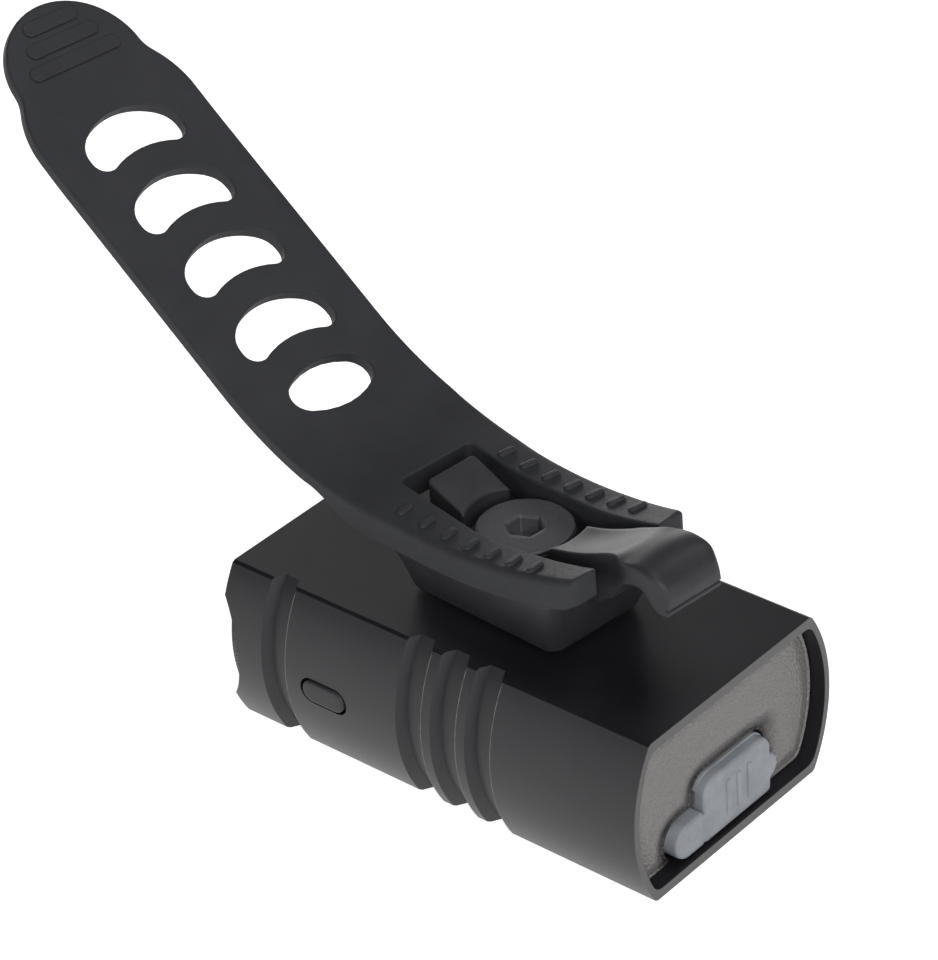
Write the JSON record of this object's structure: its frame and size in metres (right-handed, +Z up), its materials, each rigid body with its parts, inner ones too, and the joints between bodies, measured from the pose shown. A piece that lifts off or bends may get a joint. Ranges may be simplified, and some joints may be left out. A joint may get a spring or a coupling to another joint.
{
  "type": "bike headlight",
  "caption": "Compact bike headlight: a ribbed flat-topped metal case with clear lens, side button and covered charging port, on a swivelling shoe with a rubber strap and hook.",
  "frame": {"origin": "centre of the case's flat underside, on the surface that it rests on", "axes": "+Z up; the lens faces -Y, the charging port +Y and the button +X"},
  "size_m": [0.0406, 0.1201, 0.0764],
  "materials": {
    "anodised_case": "satin black anodised aluminium",
    "clear_lens": "clear polycarbonate",
    "seal_rubber": "soft black seal",
    "reflector_metal": "bright metallised bowls",
    "board_metal": "white-faced metal-core board",
    "led_phosphor": "yellow phosphor under a clear dome",
    "bare_aluminium": "machined",
    "circuit_board": "green solder mask",
    "foam_pad": "closed-cell foam",
    "cell_wrap": "shrink-wrapped cell",
    "switch_plastic": "moulded switch",
    "grained_plastic": "fine leather-like grain",
    "socket_steel": "plated shell",
    "grey_silicone": "smooth grey silicone",
    "insert_brass": "turned",
    "screw_steel": "dark phosphated steel",
    "washer_plastic": "smooth nylon",
    "button_rubber": "matte button",
    "shoe_plastic": "satin moulded nylon",
    "strap_rubber": "matte silicone rubber"
  },
  "bodies": {
    "root": {"housing": "anodised_case", "front_lens": "clear_lens", "lens_gasket": "seal_rubber", "reflector": "reflector_metal", "led_board": "board_metal", "led_emitters": "led_phosphor", "heat_spreader": "bare_aluminium", "control_board": "circuit_board", "battery_pad": "foam_pad", "battery_cell": "cell_wrap", "switch_board": "circuit_board", "button_switch": "switch_plastic", "button_seal": "seal_rubber", "rear_cap": "grained_plastic", "rear_cap_gasket": "seal_rubber", "usb_socket": "socket_steel", "cover_tether": "grey_silicone", "mount_insert": "insert_brass", "mount_screw": "screw_steel", "mount_washer": "washer_plastic"},
    "button": {"button_cap": "button_rubber"},
    "port_cover": {"port_cover": "grey_silicone"},
    "mount": {"mount_base": "shoe_plastic", "strap_fork": "strap_rubber"},
    "strap": {"strap_tail": "strap_rubber"}
  },
  "joints": [
    {"name": "button_press", "type": "slide", "parent": "root", "child": "button", "axis": [-1, 0, 0], "range_m": [0, 0.0005], "stiffness_N_per_m": 1500, "springref_m": -0.0005},
    {"name": "port_cover_hinge", "type": "hinge", "parent": "root", "child": "port_cover", "pos_m": [0.00535, 0.03277, 0.0058], "axis": [0, 0, -1], "range_deg": [0, 120], "stiffness_Nm_per_rad": 0.004},
    {"name": "mount_swivel", "type": "hinge", "parent": "root", "child": "mount", "pos_m": [0, 0.00194, 0.03], "axis": [0, 0, 1], "range_deg": [-90, 90]},
    {"name": "strap_flex", "type": "hinge", "parent": "mount", "child": "strap", "pos_m": [-0.00286, -0.024, 0.03584], "axis": [-0.994, 0.1097, 0], "range_deg": [-25, 65], "stiffness_Nm_per_rad": 0.2}
  ]
}
